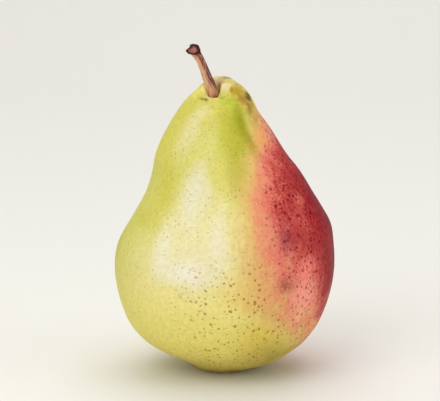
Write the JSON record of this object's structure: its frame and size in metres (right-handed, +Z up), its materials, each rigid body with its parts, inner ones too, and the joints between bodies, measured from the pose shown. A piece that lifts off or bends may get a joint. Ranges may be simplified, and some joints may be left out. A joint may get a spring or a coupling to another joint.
{
  "type": "pear",
  "caption": "Whole ripe pear: broad rounded belly, tapering shoulder, short leaning stem in a small hollow and a dried calyx in the basin underneath.",
  "frame": {"origin": "On the surface that the pear stands on, under the middle of its outer box.", "axes": "+Z is up, from the calyx to the stem. +X is the side with the red blush. -Y is the side that the picture looks at, where the top rim is lowest. The stem leans towards -X."},
  "size_m": [0.0736, 0.0712, 0.109],
  "materials": {
    "skin": "satin",
    "stem": "matte",
    "calyx": "matte"
  },
  "bodies": {
    "root": {"fruit": "skin", "stem": "stem", "calyx": "calyx"}
  },
  "joints": []
}
